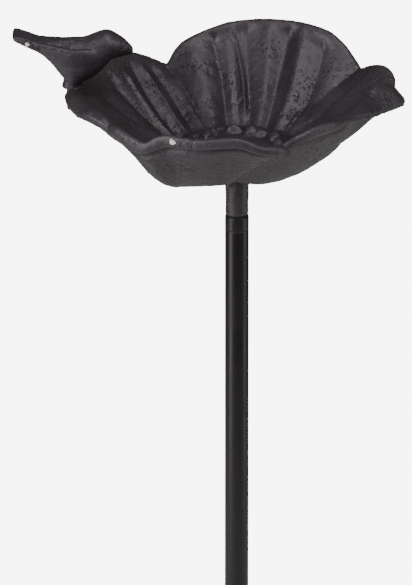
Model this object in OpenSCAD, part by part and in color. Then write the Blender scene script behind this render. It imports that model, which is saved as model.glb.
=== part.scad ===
// Cast flower bowl with a perched bird, on a three-section ground pole.
// The origin is on the pole's axis at ground level, under the step bar. +Z is up, the bird sits at -X,
// and -Y is the front.

/* [Pole] */
// Outside diameter of the pole's tubes
tube_d = 16; // [12:0.5:25]
// Wall thickness of the tubes
tube_wall = 1.5; // [1:0.1:2.5]
// Length of one pole section, from joint to joint
section_len = 300; // [180:5:450]
// Height of the turned collar welded to the top of each section
collar_h = 10; // [6:1:20]
// Length of a fitting's spigot inside its tube
spigot_len = 14; // [8:1:25]
// Length of the tapped plug in the bottom of a section
plug_len = 22; // [16:1:40]

/* [Screw joints] */
// Diameter of the joint studs
stud_d = 8; // [6:1:10]
// Thread travel for one full turn
thread_pitch = 1.25; // [1:0.25:1.5]
// Length of stud that enters the piece below
stud_root = 12; // [8:1:18]
// Length of stud that stands above its washer
stud_grip = 11; // [8:0.5:14]
// Thickness of each joint washer
washer_t = 1; // [0.5:0.1:2]
// How far a washer's edge is set in from the tube's face
washer_inset = 0.6; // [0.2:0.1:1.5]

/* [Petal bowl] */
// Rim radius of the bowl at its widest petal
bowl_r = 114; // [95:1:140]
// Height of the rim's tallest petal above the pole joint
rim_h = 97; // [80:1:120]
// Height of the bowl's underside above the pole joint
underside_h = 41; // [30:1:55]
// Radius of the flat middle of the underside
flat_r = 46; // [38:1:55]
// Thickness of the casting
bowl_wall = 4.5; // [3.5:0.1:7]
// Radius of the flower's centre disc
disc_r = 35; // [26:1:42]
// Height of the ring around the centre disc
disc_step = 3; // [1:0.5:5]
// Height of the step where one petal lies over the next
petal_lap = 3; // [1:0.5:4.5]
// Depth of the flutes pressed into the petals
flute_depth = 1.6; // [0:0.1:3]
// Diameter of the boss under the bowl
boss_d = 15.7; // [12:0.1:24]
// Reach of each gusset out from the boss
gusset_reach = 6; // [3:0.5:12]

/* [Bird] */
// Direction of the perch around the rim, from +X
perch_turn = 170; // [150:1:190]
// How far the perch stands above the rim
perch_stand = 2; // [1:0.5:6]
// Diameter of the perch and of the stem that stands on it
perch_d = 11; // [9:0.5:16]
// Overall size of the bird, as a share of its drawn length
bird_scale = 1; // [0.8:0.05:1.25]
// Diameter of the screw that holds the bird
bird_screw_d = 4; // [3:0.5:5]

/* [Ground spike] */
// How far the solid spike's side is set in from the tube's, where the tube stands on it
spike_inset = 1; // [0:0.1:1.4]
// Length of the spike's straight part
spike_len = 90; // [60:5:150]
// Length of the point below it
point_len = 60; // [30:5:90]
// Length of the step bar
bar_len = 110; // [80:5:160]
// Width of the step bar
bar_w = 22; // [18:1:40]
// Thickness of the step bar
bar_t = 4; // [3:0.5:8]
// Distance from the pole's axis to each side prong
prong_x = 44; // [30:1:70]
// Diameter of the side prongs
prong_d = 8; // [6:0.5:12]
// Depth that the side prongs reach below the step bar
prong_len = 110; // [60:5:150]

/* [Hidden] */
$fn = 64;

// Clearances, on the radius: a threaded or turned fit, a welded fit, and a screw's through hole.
thread_gap = 0.05;
weld_gap = 0.05;
screw_gap = 0.3;
// Overlap that makes two shapes of one casting a single solid.
merge = 1;
// Chamfers at the ends of studs and on collars.
stud_chamfer = 0.8;
collar_chamfer = 0.5;

tube_r = tube_d / 2;
bore_r = tube_r - tube_wall;
stud_r = stud_d / 2;
tapped_r = stud_r + thread_gap;
washer_r = tube_r - washer_inset;
spike_r = tube_r - spike_inset;

// Heights of the joints: each pole section starts on the washer of the section below.
lower_top = section_len;
middle_bottom = lower_top + washer_t;
middle_top = middle_bottom + section_len;
upper_bottom = middle_top + washer_t;
upper_top = upper_bottom + section_len;
bowl_bottom = upper_top + washer_t;

// The tapped holes are about a turn and a half of thread deeper than the studs that enter them.
hole_spare = 1.6 * thread_pitch;
root_hole = stud_root + hole_spare;
grip_hole = stud_grip + hole_spare;
drill_point = 0.6;

paint = "#3a373a";
dark_ring = "#1c1b1c";
bare_steel = "#8a8786";

// ---- The petals ----
// One list of stations for each petal, across its rim from one seam to the next. A station is its
// direction, the rim's height and radius, how far the flat belly reaches under it, how full the wall
// is (1 is straight), and how far the wall stands above the rim before it curls over and out.
PETALS = [
    [
        [41, 74, 110, 46, 1.25, 0], [48, 84, 110, 46, 1.25, 0], [55, 92.5, 109.5, 46, 1.25, 0],
        [65, 96.5, 108.5, 46, 1.25, 0], [79, 97, 108, 46, 1.25, 0], [92, 94, 107, 46, 1.25, 0],
        [105, 86.5, 105.5, 46, 1.25, 0], [112, 80, 105.5, 46, 1.25, 0], [117, 69, 105, 46, 1.25, 0]
    ],
    [
        [117, 69, 106, 46, 1.25, 0], [121, 72.5, 108, 46, 1.25, 0], [126, 78, 109, 46, 1.25, 0],
        [132, 83, 111, 46, 1.25, 0], [142, 85, 112, 46, 1.25, 0], [156, 83, 112, 46, 1.2, 0],
        [172, 82, 110, 46, 1.1, 0]
    ],
    [
        [172, 82, 112, 46, 1.1, 0], [180, 84, 113.5, 46, 1.1, 0], [190, 85, 113, 46, 1.1, 0],
        [200, 86, 112.5, 46, 1.1, 0], [211, 87, 109.5, 47, 1.15, 0], [222, 87, 107, 49, 1.3, 0]
    ],
    [
        [222, 92, 109.5, 50, 1.5, 0], [228, 90, 109, 52, 1.6, 0], [235, 89, 108, 55, 1.7, 0],
        [243, 95.5, 105.5, 55, 1.7, 0], [254, 95, 107, 53, 1.5, 0], [270, 96, 106, 50, 1.4, 0],
        [279, 90, 106, 46, 1.3, 0], [286, 87, 103, 45, 1.2, 0], [291, 86, 100, 44, 1.15, 0]
    ],
    [
        [291, 86, 101, 44, 1.15, 0], [296, 92, 103.5, 44, 1.1, 0], [304, 95, 103.5, 44, 1.1, 0],
        [320, 93, 102, 45, 1.1, 3], [335, 90, 104, 46, 1.1, 7], [348, 85, 108, 46, 1.15, 9],
        [359, 80, 112, 46, 1.2, 8], [370, 80, 111, 46, 1.25, 1], [382, 82, 114, 46, 1.25, 0],
        [392, 82, 114, 46, 1.25, 0], [401, 74, 110, 46, 1.25, 0]
    ]
];
// The drawn rim's largest radius and height; bowl_r and rim_h stretch the petals to suit.
drawn_r = 114;
drawn_h = 97;
drawn_flat_r = 46;
petal_columns = 24;
seam_turn = 1.2;
flute_spacing = 15;
// Shares of the way from the flat middle to the rim at which the wall's rings lie.
WALL_RINGS = [0.12, 0.25, 0.38, 0.51, 0.64, 0.77, 0.89];

function blend(low, high, share) = low + (high - low) * share;
function ease(share) = let (s = min(1, max(0, share))) s * s * (3 - 2 * s);
// A smooth curve through rows of values: u counts rows from the first.
function between(a, b, c, d, t) =
    0.5 * (2 * b + (c - a) * t + (2 * a - 5 * b + 4 * c - d) * t * t + (3 * b - 3 * c + d - a) * t * t * t);
function row_at(rows, i) = rows[min(len(rows) - 1, max(0, i))];
function curve_row(rows, u) =
    let (i = min(len(rows) - 2, floor(u)))
    between(row_at(rows, i - 1), row_at(rows, i), row_at(rows, i + 1), row_at(rows, i + 2), u - i);

// A petal's station at share t across it, at the bowl's real size.
function rim_station(petal, t) =
    let (
        row = curve_row(petal, t * (len(petal) - 1)),
        edge = seam_turn * (0.5 - t)
    )
    [
        row[0] + edge,
        row[1] * rim_h / drawn_h,
        row[2] * bowl_r / drawn_r,
        row[3] - drawn_flat_r + flat_r,
        row[4],
        row[5]
    ];

// Height of the petal's relief: it laps over one neighbour, dips under the other, and is fluted.
function relief(petal, t, out) =
    let (flutes = round((petal[len(petal) - 1][0] - petal[0][0]) / flute_spacing))
    ease(out * 1.6) * (petal_lap * (0.5 - t) - flute_depth * (1 + cos(360 * flutes * t)) / 2);
function underside(petal, t, row, out) =
    underside_h
    + (row[1] - bowl_wall * 1.4 - underside_h) * pow(out, row[4])
    + row[5] * sin(180 * pow(out, 3))
    + relief(petal, t, out) * (1 - ease((out - 0.8) * 5));
// The wall rises at about 45 degrees, so measured straight up it is thicker than the casting.
function upright_wall(out) = bowl_wall * blend(1, 1.4, ease(out * 2));
function at_turn(turn, r, z) = [r * cos(turn), r * sin(turn), z];

// One column of points, from the middle of the underside out to the rim and back in over the top.
function column_points(petal, t) =
    let (
        row = rim_station(petal, t),
        turn = row[0],
        height = row[1],
        rim = row[2],
        belly = row[3],
        lip = bowl_wall / 2
    )
    concat(
        [at_turn(turn, boss_d, underside_h), at_turn(turn, belly, underside_h)],
        [for (out = WALL_RINGS) at_turn(turn, blend(belly, rim, out), underside(petal, t, row, out))],
        [
            at_turn(turn, rim, height - bowl_wall * 1.4),
            at_turn(turn, rim + lip * 0.1, height - bowl_wall * 0.6),
            at_turn(turn, rim - lip * 0.5, height),
            at_turn(turn, rim - lip * 2, height - bowl_wall * 0.2)
        ],
        [
            for (i = [len(WALL_RINGS) - 1:-1:0])
            let (out = WALL_RINGS[i])
            at_turn(
                turn,
                blend(belly, rim, out) - lip * out,
                underside(petal, t, row, out) + upright_wall(out)
            )
        ],
        [
            at_turn(turn, disc_r + 3, underside_h + bowl_wall),
            at_turn(turn, disc_r, underside_h + bowl_wall + disc_step),
            at_turn(turn, disc_r - 3, underside_h + bowl_wall + disc_step),
            at_turn(turn, disc_r - 6, underside_h + bowl_wall),
            at_turn(turn, boss_d, underside_h + bowl_wall)
        ]
    );

// A closed skin over rows of points that share a first and a last pole.
function skin_faces(rows, cols) =
    concat(
        [for (i = [0:rows - 1]) [rows * cols, i * cols, ((i + 1) % rows) * cols]],
        [
            for (i = [0:rows - 1])
            for (j = [0:cols - 2])
            for (half = [0, 1])
            let (
                here = i * cols + j,
                next = ((i + 1) % rows) * cols + j
            )
            half == 0 ? [here, here + 1, next + 1] : [here, next + 1, next]
        ],
        [for (i = [0:rows - 1]) [rows * cols + 1, ((i + 1) % rows) * cols + cols - 1, i * cols + cols - 1]]
    );
function flat_list(rows) = [for (row = rows) for (point = row) point];

module petal_shell() {
    columns = [
        for (petal = PETALS)
        for (c = [0:petal_columns - 1])
        column_points(petal, c / (petal_columns - 1))
    ];
    poles = [[0, 0, underside_h], [0, 0, underside_h + bowl_wall]];
    polyhedron(
        points = concat(flat_list(columns), poles),
        faces = skin_faces(len(columns), len(columns[0])),
        convexity = 6
    );
}

// ---- Shared pieces ----
// A blind hole that opens downwards at height 0, with a drill point.
module tapped_hole(depth) {
    translate([0, 0, -merge]) cylinder(r = tapped_r, h = depth + merge);
    translate([0, 0, depth]) cylinder(r1 = tapped_r, r2 = 0, h = tapped_r * drill_point);
}

module joint_stud(joint_z) {
    length = stud_root + washer_t + stud_grip;
    translate([0, 0, joint_z - stud_root]) {
        cylinder(r1 = stud_r - stud_chamfer, r2 = stud_r, h = stud_chamfer);
        translate([0, 0, stud_chamfer]) cylinder(r = stud_r, h = length - 2 * stud_chamfer);
        translate([0, 0, length - stud_chamfer])
            cylinder(r1 = stud_r, r2 = stud_r - stud_chamfer, h = stud_chamfer);
    }
}

module joint_washer(bottom_z) {
    translate([0, 0, bottom_z])
    difference() {
        cylinder(r = washer_r, h = washer_t);
        translate([0, 0, -merge]) cylinder(r = stud_r + screw_gap, h = washer_t + 2 * merge);
    }
}

// Turned collar with a spigot that is welded into the top of a tube.
module top_fitting(top_z) {
    translate([0, 0, top_z])
    difference() {
        union() {
            translate([0, 0, -collar_chamfer])
                cylinder(r1 = tube_r, r2 = tube_r - collar_chamfer, h = collar_chamfer);
            translate([0, 0, -collar_h]) cylinder(r = tube_r, h = collar_h - collar_chamfer);
            translate([0, 0, -collar_h - spigot_len])
                cylinder(r = bore_r - weld_gap, h = spigot_len);
        }
        mirror([0, 0, 1]) tapped_hole(root_hole);
    }
}

// Plug with a tapped hole right through, welded flush into the bottom of a tube.
module bottom_fitting(bottom_z) {
    translate([0, 0, bottom_z])
    difference() {
        cylinder(r = bore_r - weld_gap, h = plug_len);
        translate([0, 0, -merge]) cylinder(r = tapped_r, h = plug_len + 2 * merge);
    }
}

module pole_tube(from_z, to_z) {
    translate([0, 0, from_z])
    difference() {
        cylinder(r = tube_r, h = to_z - from_z);
        translate([0, 0, -merge]) cylinder(r = bore_r, h = to_z - from_z + 2 * merge);
    }
}

// ---- The bowl and the bird ----
// The perch stands on the left petal's first station, just inside its edge.
PERCH_STATION = PETALS[2][0];
perch_r = perch_d / 2;
perch_inset = 2;
perch_out = PERCH_STATION[2] * bowl_r / drawn_r - perch_inset;
perch_h = PERCH_STATION[1] * rim_h / drawn_h + perch_stand;
stem_h = 10;
perch_drop = 15;
screw_r = bird_screw_d / 2;
screw_bite = 10;
screw_head_h = 2.4;
screw_head_r = screw_r * 1.75;

module at_perch() {
    rotate([0, 0, perch_turn]) translate([perch_out, 0, bowl_bottom + perch_h]) children();
}

module gusset() {
    rotate([90, 0, 0])
    translate([0, 0, -bowl_wall / 2])
    linear_extrude(height = bowl_wall)
        polygon([
            [0, underside_h + merge],
            [boss_d / 2 + gusset_reach, underside_h + merge],
            [boss_d / 2 + gusset_reach, underside_h],
            [boss_d / 2, underside_h - gusset_reach],
            [0, underside_h - gusset_reach]
        ]);
}

module petal_bowl() {
    color(paint)
    difference() {
        union() {
            translate([0, 0, bowl_bottom]) {
                petal_shell();
                cylinder(d = boss_d, h = underside_h + bowl_wall / 2);
                for (turn = [0:120:240]) rotate([0, 0, turn]) gusset();
            }
            at_perch() translate([0, 0, -perch_drop]) cylinder(r = perch_r, h = perch_drop);
        }
        translate([0, 0, bowl_bottom]) tapped_hole(grip_hole);
        at_perch() translate([0, 0, -perch_drop - merge])
            cylinder(r = screw_r + screw_gap, h = perch_drop + 2 * merge);
    }
}

// The bird, from the tip of its tail to the tip of its beak: distance along, height of the middle
// above the perch, half height and half width.
BIRD = [
    [-41.5, 37.5, 1.4, 5],
    [-39.5, 37.4, 3.4, 9.6],
    [-31, 34.2, 3.8, 10.2],
    [-23, 31, 5.2, 9.4],
    [-16, 26.9, 8.6, 9.8],
    [-9, 22.4, 13.2, 12],
    [-1, 18.4, 17.4, 13.2],
    [7, 20.6, 15.4, 13.4],
    [14, 24.1, 15.2, 12.4],
    [20, 28.4, 12.9, 11],
    [24, 30.8, 9.6, 9.8],
    [29, 29.2, 7.0, 7.2],
    [33, 28.2, 4.6, 4.4],
    [37, 26.8, 1.8, 1.8],
    [38, 26.4, 0.5, 0.5]
];
bird_sides = 24;
bird_steps = 3;

function bird_row(u) = curve_row(BIRD, u);
function bird_ring(u) =
    let (row = bird_row(u) * bird_scale)
    [
        for (k = [0:bird_sides - 1])
        let (turn = 360 * k / bird_sides)
        [row[0], row[3] * cos(turn), row[1] + row[2] * sin(turn)]
    ];

module bird_body() {
    count = (len(BIRD) - 1) * bird_steps + 1;
    rings = [for (n = [0:count - 1]) bird_ring(n / bird_steps)];
    // The skin's rows run along the bird, so the rings are turned into rows here.
    rows = [for (k = [0:bird_sides - 1]) [for (n = [0:count - 1]) rings[n][k]]];
    tail = bird_row(0) * bird_scale;
    beak = bird_row(len(BIRD) - 1) * bird_scale;
    polyhedron(
        points = concat(flat_list(rows), [[tail[0], 0, tail[1]], [beak[0], 0, beak[1]]]),
        faces = skin_faces(bird_sides, count),
        convexity = 4
    );
}

module bird_figure() {
    body_size = 200;
    color(paint)
    at_perch()
    difference() {
        union() {
            rotate([0, 0, -perch_turn]) bird_body();
            cylinder(r = perch_r, h = stem_h);
        }
        translate([0, 0, -body_size / 2]) cube(body_size, center = true);
        translate([0, 0, -merge]) cylinder(r = screw_r + thread_gap, h = screw_bite + merge);
    }
}

module bird_screw() {
    shank = perch_drop + screw_bite - merge;
    color(bare_steel)
    at_perch() translate([0, 0, -perch_drop]) {
        cylinder(r = screw_r, h = shank);
        translate([0, 0, -screw_head_h]) cylinder(r = screw_head_r, h = screw_head_h);
    }
}

// ---- The ground spike ----
point_tip_r = 1.2;
prong_tip_len = 18;

// Solid spike with a spigot that is welded up into the bottom of the lower tube.
module ground_spike() {
    color(paint) {
        cylinder(r = bore_r - weld_gap, h = spigot_len);
        translate([0, 0, -spike_len]) cylinder(r = spike_r, h = spike_len);
        translate([0, 0, -spike_len - point_len])
            cylinder(r1 = point_tip_r, r2 = spike_r, h = point_len);
    }
}

module step_bar() {
    color(paint)
    difference() {
        translate([-bar_len / 2, -bar_w / 2, 0]) cube([bar_len, bar_w, bar_t]);
        translate([0, 0, -merge]) cylinder(r = tube_r + weld_gap, h = bar_t + 2 * merge);
        for (side = [-1, 1]) translate([side * prong_x, 0, -merge])
            cylinder(d = prong_d + 2 * weld_gap, h = bar_t + 2 * merge);
    }
}

module prong(side) {
    translate([side * prong_x, 0, 0]) {
        translate([0, 0, prong_tip_len - prong_len])
            cylinder(d = prong_d, h = prong_len - prong_tip_len + bar_t);
        translate([0, 0, -prong_len]) cylinder(r1 = point_tip_r, r2 = prong_d / 2, h = prong_tip_len);
    }
}

petal_bowl();
bird_figure();
bird_screw();
color(dark_ring) joint_washer(upper_top);  // bowl_washer
color(bare_steel) joint_stud(upper_top);  // bowl_stud
color(paint) top_fitting(upper_top);  // upper_top_fitting
color(paint) pole_tube(upper_bottom, upper_top - collar_h);  // upper_tube
color(bare_steel) bottom_fitting(upper_bottom);  // upper_bottom_fitting
color(dark_ring) joint_washer(middle_top);  // upper_washer
color(bare_steel) joint_stud(middle_top);  // upper_joint_stud
color(paint) top_fitting(middle_top);  // middle_top_fitting
color(paint) pole_tube(middle_bottom, middle_top - collar_h);  // middle_tube
color(bare_steel) bottom_fitting(middle_bottom);  // middle_bottom_fitting
color(dark_ring) joint_washer(lower_top);  // lower_washer
color(bare_steel) joint_stud(lower_top);  // lower_joint_stud
color(paint) top_fitting(lower_top);  // lower_top_fitting
color(paint) pole_tube(0, lower_top - collar_h);  // lower_tube
ground_spike();
step_bar();
color(paint) prong(-1);  // left_prong
color(paint) prong(1);  // right_prong
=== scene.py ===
# %% [markdown]
# # A cast flower bowl on a pole
# The feeder is an iron casting, a bowl of five petals with a bird on its rim, screwed to a painted
# steel pole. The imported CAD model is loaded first, as a fixed frame: every piece made here is placed
# from its boxes, in metres, and rides on one of its bodies.

# %% Load the frame
import math

import bpy
import numpy as np
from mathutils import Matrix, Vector


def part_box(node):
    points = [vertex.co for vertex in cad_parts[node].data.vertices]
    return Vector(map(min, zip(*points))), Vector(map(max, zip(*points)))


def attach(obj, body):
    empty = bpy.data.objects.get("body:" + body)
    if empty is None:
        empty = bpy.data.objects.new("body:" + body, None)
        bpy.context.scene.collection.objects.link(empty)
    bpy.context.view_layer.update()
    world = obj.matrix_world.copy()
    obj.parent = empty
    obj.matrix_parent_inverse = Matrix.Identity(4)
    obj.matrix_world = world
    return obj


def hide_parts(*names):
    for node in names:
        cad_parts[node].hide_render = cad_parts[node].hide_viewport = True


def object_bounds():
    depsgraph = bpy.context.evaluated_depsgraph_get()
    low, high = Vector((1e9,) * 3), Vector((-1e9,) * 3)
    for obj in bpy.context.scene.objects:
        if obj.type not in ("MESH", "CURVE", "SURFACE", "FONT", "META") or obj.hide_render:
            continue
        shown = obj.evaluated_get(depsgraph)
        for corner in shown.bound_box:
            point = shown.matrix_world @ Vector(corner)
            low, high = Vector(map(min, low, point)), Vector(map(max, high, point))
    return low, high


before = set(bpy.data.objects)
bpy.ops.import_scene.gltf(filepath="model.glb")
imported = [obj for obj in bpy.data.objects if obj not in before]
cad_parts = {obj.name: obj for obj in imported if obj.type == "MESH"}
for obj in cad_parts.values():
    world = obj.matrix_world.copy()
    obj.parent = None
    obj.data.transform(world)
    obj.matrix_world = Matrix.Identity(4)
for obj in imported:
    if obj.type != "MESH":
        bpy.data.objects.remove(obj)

cad_low, cad_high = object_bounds()
MM = 0.001
rng = np.random.default_rng(7)


def node_box(name):
    """A CAD node's lowest and highest corners, in millimetres."""
    low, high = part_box(name)
    return np.array(low) / MM, np.array(high) / MM


def placed(name, data):
    """A new object in the scene."""
    obj = bpy.data.objects.new(name, data)
    bpy.context.scene.collection.objects.link(obj)
    return obj


# The height of the joint under the bowl, in millimetres.
BOWL_BASE = node_box("bowl_washer")[1][2]

# %% [markdown]
# ## Camera
# The bowl is looked at from the front, a little from above, through a long lens from far away, so
# that the pole stays the same width all the way down. The picture is cut just wide of the bowl.
# The camera aims at a point set from the joint between the bowl and the pole.

# %% Camera
view_height_mm = 391.4
elevation = math.radians(22.5)
camera_distance = 8.0
sensor_mm = 36.0
# How far the middle of the picture lies to the left of the pole's axis, and below the joint.
aim_left_mm = 20.7
aim_drop_mm = 53.0

camera_data = bpy.data.cameras.new("camera")
camera_data.sensor_width = sensor_mm
camera_data.lens = sensor_mm * camera_distance / (view_height_mm * MM)
camera_data.clip_end = 100
camera = placed("camera", camera_data)
bpy.context.scene.camera = camera

look = Vector((0, math.cos(elevation), -math.sin(elevation)))
upward = Vector((0, math.sin(elevation), math.cos(elevation)))
joint = Vector((0, 0, BOWL_BASE * MM))
aim = joint - upward * aim_drop_mm * MM - Vector((aim_left_mm * MM, 0, 0))
camera.location = aim - look * camera_distance
camera.rotation_euler = (math.pi / 2 - elevation, 0, 0)
print("lens in mm:", round(camera_data.lens), "height of the view in mm:", view_height_mm)

# %% [markdown]
# ## Floor and light
# The floor is plain and pale, and wide enough to fill the picture from any side. The light is that
# of a plain studio: a weak even surround, a tall soft panel at each side, and three smaller ones high up.
# The side panels are tall, because a pole mirrors what stands beside it all the way down. That gives
# it its long highlights. The key light comes from
# the left and grazes the folds, and a weaker one from the right fills their shaded banks.

# %% Floor and lights
GLOW = 7.0
SURROUND = 0.12
FLOOR_REACH = 60


def glow_for_camera(tree, socket, least):
    """Drive a strength that the object sees as the least and the camera as brighter by GLOW."""
    eye = tree.nodes.new("ShaderNodeLightPath")
    brighter = tree.nodes.new("ShaderNodeMath")
    brighter.operation = "MULTIPLY_ADD"
    brighter.inputs[1].default_value = GLOW
    brighter.inputs[2].default_value = least
    tree.links.new(eye.outputs["Is Camera Ray"], brighter.inputs[0])
    tree.links.new(brighter.outputs[0], socket)


def white_surround():
    world = bpy.data.worlds.new("surround")
    bpy.context.scene.world = world
    world.use_nodes = True
    back = world.node_tree.nodes["Background"]
    back.inputs["Color"].default_value = (1, 1, 1, 1)
    glow_for_camera(world.node_tree, back.inputs["Strength"], SURROUND)


def pale_floor():
    corners = [(x * FLOOR_REACH, y * FLOOR_REACH, cad_low[2])
               for x, y in ((-1, -1), (1, -1), (1, 1), (-1, 1))]
    mesh = bpy.data.meshes.new("floor")
    mesh.from_pydata(corners, [], [(0, 1, 2, 3)])
    paper = bpy.data.materials.new("pale_floor")
    paper.use_nodes = True
    shader = paper.node_tree.nodes["Principled BSDF"]
    shader.inputs["Base Color"].default_value = (0.85, 0.85, 0.85, 1)
    shader.inputs["Roughness"].default_value = 0.9
    shader.inputs["Emission Color"].default_value = (1, 1, 1, 1)
    glow_for_camera(paper.node_tree, shader.inputs["Emission Strength"], 0.0)
    mesh.materials.append(paper)
    placed("floor", mesh)


def panel(name, place, target, width, height, watts):
    """An upright soft light, facing a target."""
    data = bpy.data.lights.new(name, "AREA")
    data.shape, data.size, data.size_y, data.energy = "RECTANGLE", width, height, watts
    light = placed(name, data)
    light.location = place
    light.rotation_euler = (Vector(target) - Vector(place)).to_track_quat("-Z", "Y").to_euler()
    return light


white_surround()
pale_floor()
bowl_place = (0, 0, BOWL_BASE * MM + 0.06)
panels = [
    panel("left_panel", (-1.75, -1.0, 0.9), (0, 0, 0.9), 0.9, 2.1, 24),
    panel("right_panel", (1.85, -0.3, 0.9), (0, 0, 0.9), 0.7, 2.0, 10),
    panel("front_panel", (-1.7, -1.35, 2.0), bowl_place, 0.9, 0.8, 33),
    panel("fill_panel", (1.3, -1.5, 2.1), bowl_place, 0.8, 0.7, 20),
    panel("top_panel", (0.3, -0.6, 2.8), bowl_place, 0.9, 0.9, 20),
]
print("panels:", [p.name for p in panels])

# %% [markdown]
# ## Helpers
# Meshes are worked out as arrays of points in millimetres, which is quick and keeps every shape a
# formula. One helper turns arrays into an object, and one runs a piece's modifiers and keeps the
# result as a plain mesh.


# %% Mesh helpers
def mesh_object(name, points_mm, faces, raised=0.0):
    """An object from points in millimetres, raised to the height of what it stands on."""
    points = np.asarray(points_mm, float) + (0, 0, raised)
    mesh = bpy.data.meshes.new(name)
    mesh.from_pydata((points * MM).tolist(), [], [list(f) for f in faces])
    mesh.update()
    return placed(name, mesh)


def bake_modifiers(obj):
    """Replace an object's mesh by what its modifiers make of it."""
    depsgraph = bpy.context.evaluated_depsgraph_get()
    made = bpy.data.meshes.new_from_object(obj.evaluated_get(depsgraph))
    obj.modifiers.clear()
    old = obj.data
    obj.data = made
    bpy.data.meshes.remove(old)
    made.name = obj.name
    return obj


def read_points(obj):
    points = np.empty(len(obj.data.vertices) * 3)
    obj.data.vertices.foreach_get("co", points)
    normals = np.empty(len(obj.data.vertices) * 3)
    obj.data.vertex_normals.foreach_get("vector", normals)
    return points.reshape(-1, 3) / MM, normals.reshape(-1, 3)


def write_points(obj, points_mm):
    obj.data.vertices.foreach_set("co", (points_mm * MM).ravel())
    obj.data.update()


def shifted(obj, offset_mm):
    points, _ = read_points(obj)
    write_points(obj, points + offset_mm)
    return obj


def smooth(obj):
    obj.data.polygons.foreach_set("use_smooth", [True] * len(obj.data.polygons))
    return obj


def join(name, parts):
    """One object from several."""
    bpy.ops.object.select_all(action="DESELECT")
    for part in parts:
        part.select_set(True)
    bpy.context.view_layer.objects.active = parts[0]
    bpy.ops.object.join()
    parts[0].name = parts[0].data.name = name
    return parts[0]


def grid_faces(rows, cols, first=0, wrap=False):
    """Quads over a grid of points; wrap joins the last row to the first."""
    span = rows if wrap else rows - 1
    i, j = np.meshgrid(np.arange(span), np.arange(cols - 1), indexing="ij")
    a = first + i * cols + j
    b = first + ((i + 1) % rows) * cols + j
    return np.stack([a, b, b + 1, a + 1], -1).reshape(-1, 4)


def settle(obj, material, body, slot, *nodes):
    """Give a finished piece its finish and its body, and hide the CAD nodes it stands for."""
    obj.data.materials.clear()
    obj.data.materials.append(material)
    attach(obj, body)
    if nodes:
        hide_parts(*nodes)
    print(obj.name, "has", sum(len(p.vertices) - 2 for p in obj.data.polygons), "triangles")
    return obj


# %% [markdown]
# ## The shape of a petal
# Each petal is one thick leaf of the casting. A few stations across it say how high and how wide
# its rim is, how full its wall is, and how its lip curls. A smooth curve runs through the stations,
# and the wall between the flat belly and the rim is a formula. The leaves lap over one another the
# way real petals do, so the seams are true steps with rounded edges and not lines of paint.

# %% Petal stations
UNDERSIDE = 40.4
WALL = 4.5
DISC_R = 35.0
LEAF_START = 30.0

# Each station: direction, rim height, rim radius, reach of the flat belly, fullness of the wall,
# curl of the lip, and how far out its crest lies. Where a row stops short it goes on as plain wall.
PLAIN_WALL = (46, 1.25, 0, 0.9)


def stations(rows):
    return [row + PLAIN_WALL[len(row) - 3:] for row in rows]


BACK = stations([
    (33, 67, 107), (41, 78.5, 110), (48, 89.5, 110), (55, 97, 109.5), (65, 99.8, 108.2),
    (79, 99.8, 107.5), (92, 97.4, 106.5), (105, 90.3, 105.5), (112, 83.5, 105.5), (118, 71, 104),
    (125, 62, 102),
])
BACK_LEFT = stations([
    (116.5, 67.5, 104), (118.5, 71, 106), (121, 74.5, 108), (126, 80, 109), (132, 84.5, 111),
    (142, 88, 112), (154, 87, 112.5, 46, 1.2), (166, 83, 112, 46, 1.15), (174, 79, 110, 46, 1.1),
    (181, 74, 107, 46, 1.1),
])
LEFT = stations([
    (169, 78, 110, 46, 1.15, 2), (174, 82, 113, 46, 1.15, 4), (181, 84.3, 114.8, 46, 1.15, 8, 0.89),
    (190, 85.3, 114.2, 46, 1.15, 9.5, 0.88), (200, 86.3, 113, 46, 1.15, 10, 0.88),
    (210, 86, 107, 47, 1.25, 8, 0.88), (219, 78, 99, 48, 1.45, 3), (229, 66, 88, 50, 1.6),
])
FRONT = stations([
    (217, 90, 108, 54, 1.45, 3, 0.85), (223, 92, 109, 58, 1.65, 3, 0.85),
    (229, 90, 109, 61, 1.9, 2, 0.86), (235, 87.5, 108, 62, 2.05, 1, 0.88),
    (239, 92, 106.5, 60, 2.0), (244, 95, 105, 58, 1.85), (254, 94.5, 106, 54, 1.6),
    (270, 96, 104.8, 49, 1.32), (279, 90, 105, 44, 1.18), (285, 87.5, 102.5, 43, 1.12),
    (288.5, 86.5, 99, 43, 1.12), (291.5, 82.5, 95.5, 43, 1.12),
])
RIGHT = stations([
    (287, 83, 97, 43, 1.1), (291, 87, 98, 44, 1.15), (296, 92, 98, 47, 1.3),
    (304, 95.5, 96.5, 50, 1.47), (313, 95.5, 95, 50, 1.47), (320, 92, 93, 49, 1.4, 3),
    (328, 88.5, 93, 49, 1.35, 6, 0.87), (337, 85, 94.5, 48, 1.3, 12, 0.82),
    (347, 81.5, 98, 47, 1.3, 18, 0.79), (354, 80, 104, 46, 1.25, 25, 0.77),
    (359, 79.3, 110.5, 46, 1.25, 23, 0.78), (363, 77.5, 112, 46, 1.25, 16, 0.83),
    (366.5, 78, 110.5, 46, 1.25, 7, 0.88), (370, 80.5, 107.5, 46, 1.25, 2), (374, 83, 108.5),
    (379, 85.3, 111.6, 46, 1.25, 1, 0.92), (386, 86, 113, 46, 1.25, 1, 0.92),
    (393, 82, 113.2, 46, 1.25, 0, 0.92), (398, 76.5, 112), (401.5, 72, 109.5),
])


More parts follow.
